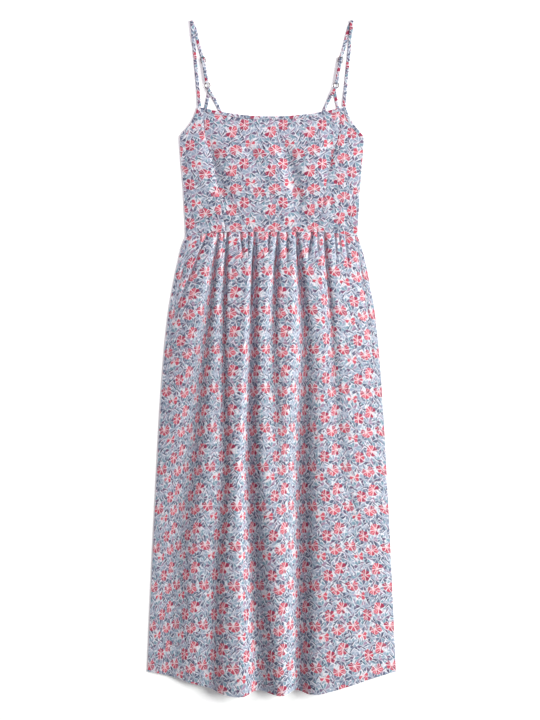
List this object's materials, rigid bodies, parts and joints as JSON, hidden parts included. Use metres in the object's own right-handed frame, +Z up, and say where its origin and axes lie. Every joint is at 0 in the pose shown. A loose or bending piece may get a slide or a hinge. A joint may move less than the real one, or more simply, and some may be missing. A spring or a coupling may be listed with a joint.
{
  "type": "sundress",
  "caption": "Sleeveless sundress laid out flat, with adjustable thin straps, a princess-seamed bodice and a long gathered skirt in a small floral print.",
  "frame": {"origin": "on the surface that the dress lies on, under the middle of its bounding box", "axes": "+X across the dress to the right as seen from above, +Y along it from hem to straps, +Z up out of its front"},
  "size_m": [0.4593, 1.2465, 0.0292],
  "materials": {
    "floral_cotton": "light plain-weave cotton with a small floral print, matt",
    "strap_cotton": "the same printed cotton, turned into narrow flat bands",
    "strap_metal": "dull warm-grey metal, satin"
  },
  "bodies": {
    "root": {"front_bodice_centre": "floral_cotton", "front_bodice_left": "floral_cotton", "front_bodice_right": "floral_cotton", "back_bodice": "floral_cotton", "neckline_binding": "floral_cotton", "armhole_binding_left": "floral_cotton", "armhole_binding_right": "floral_cotton", "front_skirt": "floral_cotton", "back_skirt": "floral_cotton", "strap_left": "strap_cotton", "strap_right": "strap_cotton", "strap_loop_left": "strap_cotton", "strap_loop_right": "strap_cotton", "strap_ring_left": "strap_metal", "strap_ring_right": "strap_metal", "strap_slider_left": "strap_metal", "strap_slider_right": "strap_metal"}
  },
  "joints": []
}
